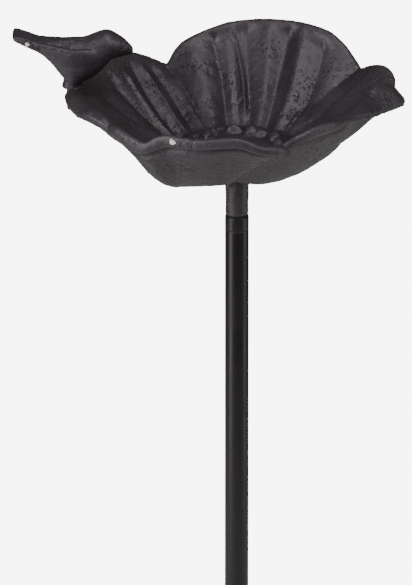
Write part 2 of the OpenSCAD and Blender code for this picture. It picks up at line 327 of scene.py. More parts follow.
# %% Petal surface
def curve_through(rows, share):
    """Points along a smooth curve through rows of values, at shares from 0 to 1."""
    rows = np.asarray(rows, float)
    padded = np.vstack([2 * rows[0] - rows[1], rows, 2 * rows[-1] - rows[-2]])
    place = np.clip(share, 0, 1) * (len(rows) - 1)
    i = np.minimum(place.astype(int), len(rows) - 2)
    t = (place - i)[:, None]
    a, b, c, d = (padded[i + k] for k in range(4))
    bend = (2 * a - 5 * b + 4 * c - d) * t**2 + (3 * b - 3 * c + d - a) * t**3
    return 0.5 * (2 * b + (c - a) * t + bend)


def bell(x, middle, width):
    return np.exp(-(((x - middle) / width) ** 2))


def ease(x):
    x = np.clip(x, 0, 1)
    return x * x * (3 - 2 * x)


def wall_height(r, height, rim, belly, fullness, curl, crest):
    """Height of the middle of the wall at radius r, for a rim of the given height and radius."""
    out = np.clip((r - belly) / (rim - belly), 0, 1)
    power = np.log(0.5) / np.log(crest)
    start = UNDERSIDE + WALL / 2
    return start + (height - 1 - start) * out**fullness + curl * np.sin(np.pi * out**power) ** 1.5


def surface_normals(points):
    """Unit normals of a grid of points, on the side away from the underside."""
    across = np.gradient(points, axis=0)
    outward = np.gradient(points, axis=1)
    normals = np.cross(outward, across)
    return normals / np.maximum(np.linalg.norm(normals, axis=2, keepdims=True), 1e-9)


# %% [markdown]
# A leaf is two skins, the underside and the inside, which meet at the rim and along both edges. The
# inside skin carries the folds, the underside carries the bead along the lip with its undercut.
# Where a leaf lies over its neighbour it is lifted off the belly, and where it lies under it drops.


# %% Leaf builder
COLUMNS, ROWS = 170, 120
BEAD = 0.5
UNDERCUT = 0.3


def leaf(name, rim_rows, fold_rows, start_lift, end_lift, start_edge, end_edge, roll=(0, 0), scroll=0.0,
         bead=BEAD, undercut=UNDERCUT, through=0.5):
    """One petal as a closed leaf.

    start_lift and end_lift raise its two sides, start_edge and end_edge are (shift at the base, bow)
    of those sides in degrees, and roll is the height of the rolled ridge along each side. scroll is
    the depth of the gutter behind the rim at its first side, where the petal curls over. through is
    the share of each fold that bends the whole wall, so that the underside shows it too.
    """
    across = np.linspace(0, 1, COLUMNS)
    # Rows crowd towards the rim, where the lip is.
    along = 1 - (1 - np.linspace(0, 1, ROWS)) ** 1.25
    table = curve_through(rim_rows, across)
    rim_turn, height, rim, belly, fullness, curl, crest = (table[:, [k]] for k in range(7))
    s = along[None, :]
    t = across[:, None]
    side_shift = (1 - t) ** 2 * (start_edge[0] * (1 - s) + start_edge[1] * np.sin(np.pi * s))
    side_shift = side_shift + t**2 * (end_edge[0] * (1 - s) + end_edge[1] * np.sin(np.pi * s))
    turn = rim_turn + side_shift
    r = LEAF_START + (rim - LEAF_START) * s
    z = wall_height(r, height, rim, belly, fullness, curl, crest)
    angle = np.radians(turn)
    rim_mm = (1 - s) * (rim - LEAF_START)
    curled = scroll * ease((0.3 - t) / 0.12)
    z = z + curled * (0.5 * bell(rim_mm, 14, 3.5) - bell(rim_mm, 6.5, 3.6))
    wall = np.stack([r * np.cos(angle), r * np.sin(angle), z], -1)
    normal = surface_normals(wall)
    lift = start_lift * ease((0.22 - t) / 0.2) + end_lift * ease((t - 0.78) / 0.2)
    lift = lift * ease((s + 0.12) * 2.5)
    # The two skins close round on each other over the last millimetres of every edge.
    edge_mm = np.minimum(t, 1 - t) * (rim_turn[-1] - rim_turn[0]) * np.pi / 180 * r
    nearest = np.minimum(edge_mm, rim_mm)
    full = np.sqrt(np.clip(1 - (1 - np.clip(nearest / 2.6, 0, 1)) ** 2, 0, 1))
    proud = bead * bell(rim_mm, 2.4, 2.2) - undercut * bell(rim_mm, 6.3, 1.3)
    inner = np.zeros_like(r)
    for rim_at, base_at, width, rise, first, last in fold_rows:
        at = base_at + (rim_at - base_at) * s + 1.1 * np.sin(5.5 * s + 2.3 * rim_at) * s
        window = ease((s - first) / 0.12) * ease((last - s) / 0.1)
        off = np.abs(turn - at) / (width * (0.65 + 0.35 / np.maximum(s, 0.25)))
        inner += 1.4 * rise * np.exp(-(off ** (1.25 if rise < 0 else 2))) * window
    # Each side ends in a rolled ridge, a narrow groove and a softer second ridge.
    rolled = bell(edge_mm, 1.8, 1.6) - 0.8 * bell(edge_mm, 4.6, 1.2) + 0.5 * bell(edge_mm, 7.4, 1.9)
    bent = through * inner
    inner += rolled * np.where(t < 0.5, roll[0], roll[1])
    middle = wall + normal * (lift + bent)[..., None]
    outside = middle - normal * (full * (WALL / 2 + proud))[..., None]
    raised = WALL / 2 + inner - bent + 0.3 * bead * bell(rim_mm, 2.5, 2.2)
    inside = middle + normal * (full * raised)[..., None]
    points = np.vstack([outside.reshape(-1, 3), inside.reshape(-1, 3)])
    count = COLUMNS * ROWS
    first_row = np.arange(COLUMNS - 1) * ROWS
    foot = np.stack([first_row, first_row + ROWS, count + first_row + ROWS, count + first_row], -1)
    faces = [grid_faces(COLUMNS, ROWS), grid_faces(COLUMNS, ROWS, count)[:, ::-1], foot[:, ::-1]]
    return mesh_object(name, points, np.vstack(faces), BOWL_BASE)


# Each fold: direction at the rim and at the base, width, height, and where it starts and ends.
# A negative height is a groove with sharp bottom and rounded banks, which makes ribs beside it.
# Where a row stops short, the fold starts and ends as most do.
PLAIN_ENDS = (0.1, 0.85)


def folds(rows):
    return [row + PLAIN_ENDS[len(row) - 4:] for row in rows]


BACK_FOLDS = folds([
    (99.0, 96.5, 3.4, -3.1, 0.08, 1.0), (92.6, 86.5, 2.4, -1.7, 0.08, 1.0),
    (91.2, 81.4, 0.75, 1.7, 0.3, 1.0), (86.5, 78.5, 2.8, -2.5, 0.08, 1.0),
    (70.5, 65.8, 3.4, -3.1, 0.08, 1.0), (57.5, 40, 3.4, -3.0, 0.05, 0.97),
    (77.5, 72, 2.6, 1.3, 0.1, 1.0), (64, 56, 2.2, 1.2, 0.15, 1.0), (108, 104, 3.0, 0.6, 0.1, 0.95),
])
BACK_LEFT_FOLDS = folds([
    (113.5, 111.5, 2.2, -2.3, 0.08, 0.93), (124.0, 125.5, 2.6, -2.8, 0.08, 0.93),
    (129.0, 135.2, 0.8, 1.2, 0.1, 0.9), (134.0, 143, 3.0, -3.0, 0.08, 0.93),
    (139.5, 149.5, 0.9, 1.3, 0.1, 0.88), (146.5, 155, 3.2, -2.5, 0.08, 0.93),
    (160, 163, 3.6, -1.6, 0.1, 0.9), (117.8, 118, 2.2, 1.0),
])
LEFT_FOLDS = folds([
    (181, 180, 2.6, -1.2), (193, 191, 3.0, -1.2), (206, 204, 3.0, -1.4), (216, 215, 2.4, -1.0),
])
FRONT_FOLDS = folds([
    (232, 230, 2.6, -2.0), (247, 246, 2.6, -2.2), (264, 262, 2.6, -2.2), (279, 277, 2.6, -1.8),
])
RIGHT_FOLDS = folds([
    (302, 300, 2.6, -1.6), (322, 320, 2.8, -1.6, 0.1, 0.7), (346, 345, 3.0, -1.4, 0.1, 0.62),
    (371, 371, 3.2, -1.3), (394, 397, 2.8, -0.9),
])

leaves = [
    leaf("back", BACK, BACK_FOLDS, -2.4, -2.4, (0, 0), (0, 0)),
    leaf("back_left", BACK_LEFT, BACK_LEFT_FOLDS, 1.2, -1.6, (-12, -5), (0, 0), roll=(1.9, 0)),
    leaf("left", LEFT, LEFT_FOLDS, 0.8, -1.2, (-6, 0), (0, 0), (0.9, 0), 2.0, 1.2, 1.3, 0.0),
    leaf("front", FRONT, FRONT_FOLDS, 0.3, -1.6, (0, 0), (-30, 0), (1.2, 0), 5.5, 1.9, 2.5, 0.0),
    leaf("right", RIGHT, RIGHT_FOLDS, 0.9, 1.0, (-38, 0), (1, 9), (0.6, 0.9), 0.0, 1.5, 1.9, 0.0),
]
print("leaves:", [leaf_obj.name for leaf_obj in leaves])

# %% [markdown]
# ## The rest of the casting
# The belly, the raised disc in the middle, the boss with its three gussets, and the perch pad are
# plain round forms. They are made as closed shells that run into the leaves, and then everything is
# fused, which is what pouring it as one piece of iron does: the corners between the parts fill up.

# %% Turned and swept shells
def turned(name, outline, steps=160, bottom=0.0):
    """A closed solid turned about the pole's axis from an outline of (radius, height)."""
    outline = np.asarray(outline, float)
    angles = np.linspace(0, 2 * np.pi, steps, endpoint=False)
    ring = np.stack([np.cos(angles), np.sin(angles)], -1)
    points = np.concatenate([outline[None, :, :1] * ring[:, None, :],
                             np.broadcast_to(outline[None, :, 1:], (steps, len(outline), 1))], -1)
    first, last = [0, 0, outline[0][1]], [0, 0, outline[-1][1]]
    points = np.vstack([points.reshape(-1, 3), first, last])
    count = len(outline)
    faces = [tuple(f) for f in grid_faces(steps, count, wrap=True)]
    for i in range(steps):
        j = (i + 1) % steps
        faces.append((steps * count, j * count, i * count))
        faces.append((steps * count + 1, i * count + count - 1, j * count + count - 1))
    return mesh_object(name, points, faces, bottom)


def squarish(sides, power):
    """Points round a unit oval, which is squarer the more the power is over 2."""
    angle = np.linspace(0, 2 * np.pi, sides, endpoint=False)
    return [np.sign(v) * np.abs(v) ** (2 / power) for v in (np.cos(angle), np.sin(angle))]


def loft(name, rings, raised=0.0):
    """A closed solid through rings of points, with a point in the middle of each end."""
    rows, sides = rings.shape[:2]
    points = np.vstack([rings.reshape(-1, 3), rings[0].mean(0), rings[-1].mean(0)])
    last = (rows - 1) * sides
    faces = []
    for i in range(rows - 1):
        for j in range(sides):
            k = (j + 1) % sides
            faces.append((i * sides + j, i * sides + k, (i + 1) * sides + k, (i + 1) * sides + j))
    for j in range(sides):
        k = (j + 1) % sides
        faces.append((k, j, rows * sides))
        faces.append((last + j, last + k, rows * sides + 1))
    return mesh_object(name, points, faces, raised)


def swept(name, centres, radii_across, radii_up, sides=24, power=2.0, sideways=(0, 1, 0), raised=0.0):
    """A closed solid swept along centres, with an oval or squarish section at each."""
    centres = np.asarray(centres, float)
    along = np.gradient(centres, axis=0)
    along /= np.linalg.norm(along, axis=1, keepdims=True)
    side = np.cross(np.cross(along, sideways), along)
    side /= np.linalg.norm(side, axis=1, keepdims=True)
    up = np.cross(along, side)
    c, s = (v[None, :, None] for v in squarish(sides, power))
    wide, high = (np.asarray(radii)[:, None, None] for radii in (radii_across, radii_up))
    rings = centres[:, None] + side[:, None] * wide * c + up[:, None] * high * s
    return loft(name, rings, raised)


belly = turned("belly", [
    (0.01, UNDERSIDE - 1), (30, UNDERSIDE - 1), (44, UNDERSIDE), (47.5, UNDERSIDE + 2), (47, UNDERSIDE + 3.5),
    (40, UNDERSIDE + 5.2), (DISC_R + 2.5, UNDERSIDE + 5.6), (DISC_R + 1.2, UNDERSIDE + 8.6),
    (DISC_R - 1.2, UNDERSIDE + 9.4), (DISC_R - 3.5, UNDERSIDE + 8.2), (DISC_R - 5, UNDERSIDE + 7.3),
    (18, UNDERSIDE + 7.8), (0.01, UNDERSIDE + 8.2)], bottom=BOWL_BASE)


def stamens():
    """Knobs of uneven size in a ring on the disc, as a flower's heart is cast."""
    knobs = []
    for turn_deg in np.arange(0, 360, 24) + rng.uniform(-5, 5, 15):
        reach, size = DISC_R - 6.5 + rng.uniform(-2.5, 1.5), rng.uniform(4.2, 6.0)
        turn = math.radians(turn_deg)
        tall = size * rng.uniform(0.9, 1.25)
        base = UNDERSIDE + 7
        centres = np.array([[reach * math.cos(turn), reach * math.sin(turn), base + h * tall]
                            for h in (-0.3, 0.1, 0.4, 0.7, 0.9, 1.0)])
        shrink = np.array([1.0, 1.0, 0.92, 0.7, 0.42, 0.12])
        knobs.append(swept("knob", centres, size * shrink, size * shrink * 0.8, 16, 2.0,
                           (-math.sin(turn), math.cos(turn), 0), BOWL_BASE))
    return knobs


knobs = stamens()
BOSS_R = 7.85
boss = turned("boss", [(0.01, 0), (BOSS_R - 0.4, 0), (BOSS_R, 0.4), (BOSS_R, 36.5), (BOSS_R + 0.9, 39),
                       (BOSS_R + 3.2, UNDERSIDE + 0.2), (BOSS_R + 4, UNDERSIDE + 2), (0.01, UNDERSIDE + 2)],
              64, BOWL_BASE)


def gusset(turn_deg):
    """A thin web from the boss out to the belly."""
    reach = np.linspace(4, 17, 12)
    drop = np.interp(reach, [4, 8, 11, 14, 17], [20, 16, 9.5, 4, -0.5])
    tops = np.full_like(reach, UNDERSIDE + 2)
    bottoms = UNDERSIDE - drop
    turn = math.radians(turn_deg)
    centres = np.stack([reach * math.cos(turn), reach * math.sin(turn), (tops + bottoms) / 2], -1)
    beside = (-math.sin(turn), math.cos(turn), 0)
    half = (tops - bottoms) / 2
    return swept("gusset", centres, np.full(12, 1.7), half, 20, 5.0, beside, BOWL_BASE)


gussets = [gusset(turn) for turn in (-8, 112, 232)]
print("round parts of the casting:", belly.name, boss.name, len(gussets))


# %% [markdown]
# The bird stands on a round pad at the rim. Its screw comes up through the pad, so the screw's CAD
# box gives the pad's place. The pad drops into the wall of the left petal.

# %% Perch pad
screw_low, screw_high = node_box("bird_screw")
SCREW_BITE = 10
perch = np.array([(screw_low[0] + screw_high[0]) / 2, (screw_low[1] + screw_high[1]) / 2,
                  screw_high[2] - SCREW_BITE])
PAD_R = 5.5
PAD_DROP = 15


def round_bar(name, place, radius, bottom, top, steps=48):
    """A closed upright cylinder, used to fuse with or to cut with."""
    obj = turned(name, [(0.01, bottom), (radius, bottom), (radius, top), (0.01, top)], steps)
    return shifted(obj, (place[0], place[1], 0))


pad = round_bar("pad", perch, PAD_R, perch[2] - PAD_DROP, perch[2])
print("perch in mm:", np.round(perch, 1))

# %% [markdown]
# ## Fusing and the cast skin
# A voxel remesh turns the overlapping shells into one skin, as the metal in a mould is one. After
# that the skin is given the marks of sand casting: a gentle unevenness, small pits in patches, and
# flow streaks. These are moved points and not only a bump map, so they also show at the edges.
# The noise is a grid of random numbers with smooth steps between them, which gives the same marks
# each time.


# %% Cast skin
def grid_noise(points_mm, cell, seed):
    """Smooth noise from -1 to 1 at points, from a repeating grid of random numbers."""
    grid = np.random.default_rng(seed).uniform(-1, 1, (32, 32, 32))
    place = np.asarray(points_mm) / np.asarray(cell, float)
    base = np.floor(place).astype(int)
    part = place - base
    part = part * part * (3 - 2 * part)
    total = np.zeros(len(place))
    for corner in range(8):
        step = np.array([corner & 1, corner >> 1 & 1, corner >> 2 & 1])
        index = (base + step) % 32
        weight = np.prod(np.where(step, part, 1 - part), axis=1)
        total += weight * grid[index[:, 0], index[:, 1], index[:, 2]]
    return total


def fuse(name, parts, voxel_mm, smoothing):
    obj = join(name, parts)
    remesh = obj.modifiers.new("fuse", "REMESH")
    remesh.mode = "VOXEL"
    remesh.voxel_size = voxel_mm * MM
    soften = obj.modifiers.new("soften", "SMOOTH")
    soften.factor, soften.iterations = 0.5, smoothing
    return bake_modifiers(obj)


def thin_to(obj, triangles):
    now = sum(len(p.vertices) - 2 for p in obj.data.polygons)
    if now > triangles:
        thin = obj.modifiers.new("thin", "DECIMATE")
        thin.ratio = triangles / now
        bake_modifiers(obj)
    return obj


def cut(obj, *tools):
    for tool in tools:
        bore = obj.modifiers.new("bore", "BOOLEAN")
        bore.operation, bore.object, bore.solver = "DIFFERENCE", tool, "EXACT"
        bake_modifiers(obj)
        bpy.data.objects.remove(tool)
    return obj


def cast_skin(obj, depth, heart=0.0):
    """Move the points of a casting in and out by a fraction of a millimetre, and lump its heart."""
    points, normals = read_points(obj)
    uneven = 0.45 * grid_noise(points, 9, 1) + 0.35 * grid_noise(points, 3.4, 2)
    uneven += 0.2 * grid_noise(points, 1.7, 3)
    patch = np.clip(grid_noise(points, 17, 4) * 2.2 - 0.15, 0, 1)
    pits = -np.clip(grid_noise(points, 2.3, 5) - 0.12, 0, 1) * patch * 2.6
    streaks = 0.3 * grid_noise(points, (11, 11, 1.4), 6)
    reach = np.hypot(points[:, 0], points[:, 1])
    outer = np.clip((reach - 60) / 30, 0, 1) * (normals[:, 2] < 0)
    shift = depth * (uneven + pits + streaks * outer)
    lumps = grid_noise(points, 7.5, 8) + 0.5 * grid_noise(points, 3.5, 9)
    shift += heart * lumps * np.clip((DISC_R + 2 - reach) / 4, 0, 1) * (normals[:, 2] > 0.2)
    write_points(obj, points + normals * shift[:, None])
    return obj


casting = fuse("petal_bowl_cast", leaves + [belly, boss, pad] + gussets + knobs, 0.85, 2)
cast_skin(casting, 0.42, 1.4)
thin_to(casting, 185000)
STUD_HOLE_R, STUD_HOLE_DEPTH = 4.05, 13
SCREW_HOLE_R = 2.05
cut(casting,
    round_bar("stud_hole", (0, 0), STUD_HOLE_R, BOWL_BASE - 2, BOWL_BASE + STUD_HOLE_DEPTH),
    round_bar("screw_hole", perch, SCREW_HOLE_R, perch[2] - 40, perch[2] + 5))
smooth(casting)
print("casting vertices:", len(casting.data.vertices))

# %% [markdown]
# ## The bird
# The bird is a small plump songbird, cast in one piece and screwed down. Its body is a row of oval
# sections from tail to beak. Wings and a stem are added as swept shells and fused with the body,
# and the feather lines are shallow grooves that follow the wings and the tail.

# %% Bird body
# Along the bird: place, middle height, half height, half width, and how square the section is.
BODY = np.array([
    (-41.4, 37.6, 0.9, 4.0, 2.1), (-40.9, 37.7, 2.1, 7.4, 2.2), (-39, 37.3, 3.1, 10.0, 2.4),
    (-32, 34.6, 3.6, 10.8, 2.6), (-23, 30.6, 4.9, 9.3, 2.6), (-16, 26.9, 8.2, 9.6, 2.2),
    (-9, 22.4, 13.0, 11.6, 2.1), (-1, 18.8, 17.0, 13.0, 2.1), (7, 20.9, 15.2, 13.2, 2.1),
    (14, 24.3, 14.8, 12.0, 2.1), (20, 28.2, 12.9, 10.8, 2.1), (24.5, 30.4, 9.9, 9.4, 2.1),
    (29, 30.0, 7.9, 7.4, 2.0), (32.5, 29.3, 6.3, 5.6, 2.0), (35.5, 28.2, 4.6, 4.2, 2.0),
    (38, 27.2, 3.0, 2.8, 2.0), (39.2, 26.7, 1.0, 1.0, 2.0)])


def oval_loft(name, rows, sides=72, steps=140):
    table = curve_through(rows, np.linspace(0, 1, steps))
    # The sides run backwards, so that the outside faces out from tail to beak.
    c, s = (v[:, ::-1] for v in squarish(sides, table[:, 4:5]))
    along = np.broadcast_to(table[:, :1], c.shape)
    rings = np.stack([along, table[:, 3:4] * c, table[:, 1:2] + table[:, 2:3] * s], -1)
    return loft(name, rings + perch)


def wing(side):
    along = np.linspace(0, 1, 40)
    spine = curve_through([(18, 8.4, 29), (9, 11.0, 25.5), (-3, 11.2, 25.0), (-15, 8.8, 28.5),
                           (-26, 7.4, 33.2)], along)
    spine[:, 1] *= side
    tall = 6.6 * np.sin(np.pi * np.clip(along * 0.86 + 0.12, 0, 1)) ** 0.7
    thick = np.interp(along, [0, 0.15, 0.7, 1], [1.2, 2.6, 2.2, 1.2])
    return swept("wing", spine + perch, thick, tall, 32, 2.6, (0, 1, 0))


def feather_lines(points):
    """Grooves along the wings and the tail, in millimetres of depth."""
    x, y, z = (points - perch).T
    tail = np.clip((-20 - x) / 6, 0, 1)
    depth = 0.4 * tail * (0.5 + 0.5 * np.cos(y * 2 * np.pi / 4.6)) ** 6
    fold = z - 31 + 0.2 * (x + 16)
    on_wing = np.clip((np.abs(y) - 8.2) / 2, 0, 1)
    on_wing = on_wing * np.clip((12 - x) / 8, 0, 1) * np.clip((x + 28) / 6, 0, 1)
    worn = np.clip(0.35 + 0.8 * grid_noise(points, 9, 11), 0, 1)
    depth += 0.38 * worn * on_wing * (0.5 + 0.5 * np.cos(fold * 2 * np.pi / 4.2)) ** 4
    return depth


bird_parts = [oval_loft("body", BODY), wing(1), wing(-1)]
STEM_H = 10
foot_levels = np.linspace(0, STEM_H + 2, 10)
foot_half = np.interp(foot_levels, [0, 3, 8, 12], [7.2, 6.9, 6.4, 5.6])
foot_spine = np.stack([-1.6 + 0.1 * foot_levels, np.zeros(10), foot_levels], -1)
bird_parts.append(swept("foot", foot_spine + perch, foot_half * 0.9, foot_half, 40, 2.2))
bird = fuse("bird", bird_parts, 0.5, 3)
bird_points, bird_normals = read_points(bird)
write_points(bird, bird_points - bird_normals * feather_lines(bird_points)[:, None])
cast_skin(bird, 0.3)
thin_to(bird, 60000)
cut(bird, round_bar("bird_hole", perch, SCREW_HOLE_R, perch[2] - 3, perch[2] + SCREW_BITE + 2))
smooth(bird)
print("bird vertices:", len(bird.data.vertices))

# %% [markdown]
# ## Finishes
# The casting and the pole are both under satin black paint, but the casting shows its grain and the
# tube is smooth. Both wear in the same way and get the same painted shade in hollows and painted
# highlight on edges, so these are one group of nodes that each finish uses with its own amounts.
# Every pattern reads Object coordinates, so it stays on the metal.


# %% Node helpers
def node(tree, kind, **settings):
    made = tree.nodes.new(kind)
    for key, value in settings.items():
        setattr(made, key, value)
    return made


def group_tree(name, ins, outs):
    tree = bpy.data.node_groups.new(name, "ShaderNodeTree")
    for label, kind, value in ins:
        socket = tree.interface.new_socket(label, in_out="INPUT", socket_type=kind)
        if value is not None:
            socket.default_value = value
    for label, kind in outs:
        tree.interface.new_socket(label, in_out="OUTPUT", socket_type=kind)
    return tree, tree.nodes.new("NodeGroupInput"), tree.nodes.new("NodeGroupOutput")


def maths(tree, operation, a, b=None, clamp=False):
    made = node(tree, "ShaderNodeMath", operation=operation, use_clamp=clamp)
    for socket, value in zip(made.inputs, (a, b)):
        if value is None:
            continue
        if isinstance(value, (int, float)):
            socket.default_value = value
        else:
            tree.links.new(value, socket)
    return made.outputs[0]


def times(tree, a, b, clamp=False):
    return maths(tree, "MULTIPLY", a, b, clamp)


def noise(tree, vector, scale, detail=2.0, rough=0.5):
    made = node(tree, "ShaderNodeTexNoise")
    tree.links.new(vector, made.inputs["Vector"])
    if isinstance(scale, (int, float)):
        made.inputs["Scale"].default_value = scale
    else:
        tree.links.new(scale, made.inputs["Scale"])
    made.inputs["Detail"].default_value = detail
    made.inputs["Roughness"].default_value = rough
    return made.outputs["Fac"]


def span(tree, value, low, high):
    """A mask that runs from 0 to 1 as the value goes from low to high."""
    made = node(tree, "ShaderNodeMapRange", interpolation_type="SMOOTHSTEP")
    tree.links.new(value, made.inputs["Value"])
    made.inputs["From Min"].default_value = low
    made.inputs["From Max"].default_value = high
    return made.outputs["Result"]


# %% [markdown]
# The first group is the skin of painted iron: fine grain, soft unevenness and small pits. It puts
# out a height for the bump and a mask of the pits, which the paints make duller and darken as painted shade.

# %% Painted grain group
def painted_grain_group():
    tree, ins, outs = group_tree(
        "painted_grain",
        [("Vector", "NodeSocketVector", None), ("Grain", "NodeSocketFloat", 900.0),
         ("Pit amount", "NodeSocketFloat", 0.4)],
        [("Height", "NodeSocketFloat"), ("Pits", "NodeSocketFloat")])
    vector, grain = ins.outputs["Vector"], ins.outputs["Grain"]
    fine = noise(tree, vector, grain, 3.0, 0.6)
    broad = noise(tree, vector, times(tree, grain, 0.22), 2.0)
    pit_field = noise(tree, vector, times(tree, grain, 0.55), 1.0)
    where = span(tree, noise(tree, vector, 45.0, 1.0), 0.45, 0.68)
    pits = times(tree, span(tree, pit_field, 0.56, 0.72), where)
    pits = times(tree, pits, ins.outputs["Pit amount"])
    height = maths(tree, "ADD", times(tree, fine, 0.35), times(tree, broad, 0.65))
    tree.links.new(maths(tree, "SUBTRACT", height, pits), outs.inputs["Height"])
    tree.links.new(pits, outs.inputs["Pits"])
    return tree


# %% [markdown]
# The second group is wear and painted light. Paint rubs thin along raised edges and chips at a few
# spots, where bare grey metal shows; the paints also lighten those raised edges as a painted highlight.
# Hollows get a mask for painted shade. The edges are found from the mesh itself, with Pointiness,
# broken up by noise.

# %% Wear and painted light group
def wear_and_painted_light_group():
    tree, ins, outs = group_tree(
        "paint_wear_and_painted_light",
        [("Vector", "NodeSocketVector", None), ("Edge", "NodeSocketFloat", 0.56),
         ("Chips", "NodeSocketFloat", 0.5)],
        [("Rub and painted highlight", "NodeSocketFloat"), ("Chip", "NodeSocketFloat"), ("Painted hollow shade", "NodeSocketFloat")])
    vector = ins.outputs["Vector"]
    raised = node(tree, "ShaderNodeNewGeometry").outputs["Pointiness"]
    broken = noise(tree, vector, 160.0, 3.0)
    above = maths(tree, "SUBTRACT", raised, ins.outputs["Edge"])
    # Raised edges: rubbed paint, and the lighter colour the paints give them is partly a painted highlight.
    rub_and_painted_highlight = times(tree, times(tree, above, 9.0, True), span(tree, broken, 0.35, 0.7))
    spots = node(tree, "ShaderNodeTexVoronoi")
    tree.links.new(vector, spots.inputs["Vector"])
    spots.inputs["Scale"].default_value = 60
    chance = node(tree, "ShaderNodeSeparateColor")
    tree.links.new(spots.outputs["Color"], chance.inputs["Color"])
    rare = maths(tree, "GREATER_THAN", chance.outputs[0], 0.965)
    ragged = maths(tree, "ADD", spots.outputs["Distance"], times(tree, broken, 0.12))
    small = maths(tree, "LESS_THAN", ragged, 0.13)
    chip = times(tree, times(tree, rare, small), ins.outputs["Chips"])
    # Hollows, where Pointiness is low: a mask for painted shade.
    painted_hollow_shade = times(tree, maths(tree, "SUBTRACT", 0.5, raised), 9.0, True)
    tree.links.new(rub_and_painted_highlight, outs.inputs["Rub and painted highlight"])
    tree.links.new(chip, outs.inputs["Chip"])
    tree.links.new(painted_hollow_shade, outs.inputs["Painted hollow shade"])
    return tree


GRAIN = painted_grain_group()
WEAR_AND_PAINTED_LIGHT = wear_and_painted_light_group()
print("groups:", GRAIN.name, WEAR_AND_PAINTED_LIGHT.name)

# %% [markdown]
# ## The paints
# A paint takes its colour, how glossy it is, and how strongly grain and wear show. Rubbed edges are
# a little smoother and lighter, partly worn paint and partly a painted highlight; chips are bare grey
# iron; pits and hollows are darker with painted shade, and pits are dull.


# %% Paint builder
def mix_colour(tree, mask, first, second):
    made = node(tree, "ShaderNodeMix", data_type="RGBA")
    tree.links.new(mask, made.inputs[0])
    for socket, value in zip((made.inputs[6], made.inputs[7]), (first, second)):
        if isinstance(value, tuple):
            socket.default_value = (*value, 1)
        else:
            tree.links.new(value, socket)
    return made.outputs[2]


def group_node(tree, group, vector, **values):
    made = node(tree, "ShaderNodeGroup", node_tree=group)
    tree.links.new(vector, made.inputs["Vector"])
    for label, value in values.items():
        made.inputs[label.replace("_", " ")].default_value = value
    return made


def knocks(tree, place, spots):
    """A mask of knocks that bare the metal: each is (x, y, z, radius) in millimetres."""
    ragged = noise(tree, place, 500.0, 3.0)
    total = None
    for x, y, z, radius in spots:
        away = node(tree, "ShaderNodeVectorMath", operation="DISTANCE")
        tree.links.new(place, away.inputs[0])
        away.inputs[1].default_value = (x * MM, y * MM, z * MM)
        reach = times(tree, ragged, 2 * radius * MM)
        here = maths(tree, "LESS_THAN", away.outputs["Value"], reach)
        total = here if total is None else maths(tree, "MAXIMUM", total, here)
    return total


BARE_IRON = (0.30, 0.29, 0.30)
FRESH_KNOCK = (0.62, 0.58, 0.55)
PLUM_SHEEN = (1.0, 0.91, 0.98, 1)


def shaded(colour, share):
    return tuple(c * share for c in colour)


def new_material(name):
    """A material's tree, its shader and its Object coordinates."""
    material = bpy.data.materials.new(name)
    material.use_nodes = True
    tree = material.node_tree
    place = node(tree, "ShaderNodeTexCoord").outputs["Object"]
    return material, tree, tree.nodes["Principled BSDF"], place


def add_bump(tree, shader, height, depth_mm):
    bump = node(tree, "ShaderNodeBump")
    bump.inputs["Distance"].default_value = depth_mm * MM
    tree.links.new(height, bump.inputs["Height"])
    tree.links.new(bump.outputs["Normal"], shader.inputs["Normal"])


def paint(name, dark, light, gloss, grain, pit, bump_mm, edge, chips, spots=(), shine=0.5):
    material, tree, shader, place = new_material(name)
    skin = group_node(tree, GRAIN, place, Grain=grain, Pit_amount=pit)
    wear_and_light = group_node(tree, WEAR_AND_PAINTED_LIGHT, place, Edge=edge, Chips=chips)
    tone = span(tree, noise(tree, place, 38.0, 4.0, 0.6), 0.3, 0.7)
    colour = mix_colour(tree, tone, dark, light)
    # Pits darker: painted shade in the pits.
    colour = mix_colour(tree, times(tree, skin.outputs["Pits"], 0.6, True), colour, shaded(dark, 0.45))
    # Hollows darker: painted shade.
    colour = mix_colour(tree, times(tree, wear_and_light.outputs["Painted hollow shade"], 0.9), colour, shaded(dark, 0.35))
    # Raised edges lighter: partly rubbed paint, partly a painted highlight.
    rubbed_and_highlight_colour = tuple(min(1.0, c * 2.4 + 0.015) for c in light)
    colour = mix_colour(tree, times(tree, wear_and_light.outputs["Rub and painted highlight"], 0.45), colour, rubbed_and_highlight_colour)
    colour = mix_colour(tree, wear_and_light.outputs["Chip"], colour, BARE_IRON)
    if spots:
        colour = mix_colour(tree, knocks(tree, place, spots), colour, FRESH_KNOCK)
    tree.links.new(colour, shader.inputs["Base Color"])
    shader.inputs["Specular Tint"].default_value = PLUM_SHEEN
    shader.inputs["Specular IOR Level"].default_value = shine
    rough = maths(tree, "ADD", times(tree, tone, 0.1), gloss)
    rough = maths(tree, "ADD", rough, times(tree, skin.outputs["Pits"], 0.2))
    rough = maths(tree, "SUBTRACT", rough, times(tree, wear_and_light.outputs["Rub and painted highlight"], 0.08), True)
    tree.links.new(rough, shader.inputs["Roughness"])
    add_bump(tree, shader, skin.outputs["Height"], bump_mm)
    return material


cast_paint = paint("black_paint_on_cast_iron", (0.0185, 0.0150, 0.0180), (0.0300, 0.0250, 0.0295),
                   0.42, 900.0, 1.0, 0.5, 0.54, 0.12,
                   [(-42.8, -98, BOWL_BASE + 90, 1.9), (-45.5, -72, BOWL_BASE + 61, 1.3),
                    (-139.8, 8, BOWL_BASE + 118, 1.5), (-134, -9, BOWL_BASE + 117, 1.2)])
pole_paint = paint("black_paint_on_tube", (0.0080, 0.0068, 0.0080), (0.0088, 0.0076, 0.0088),
                   0.32, 700.0, 0.12, 0.05, 0.62, 0.0, shine=0.36)

# %% [markdown]
# ## Rubber and zinc
# The ring in each joint is black rubber, dull with a faint mottle. The studs and the screw are
# zinc-plated steel: bright metal with a fine blurred grain.


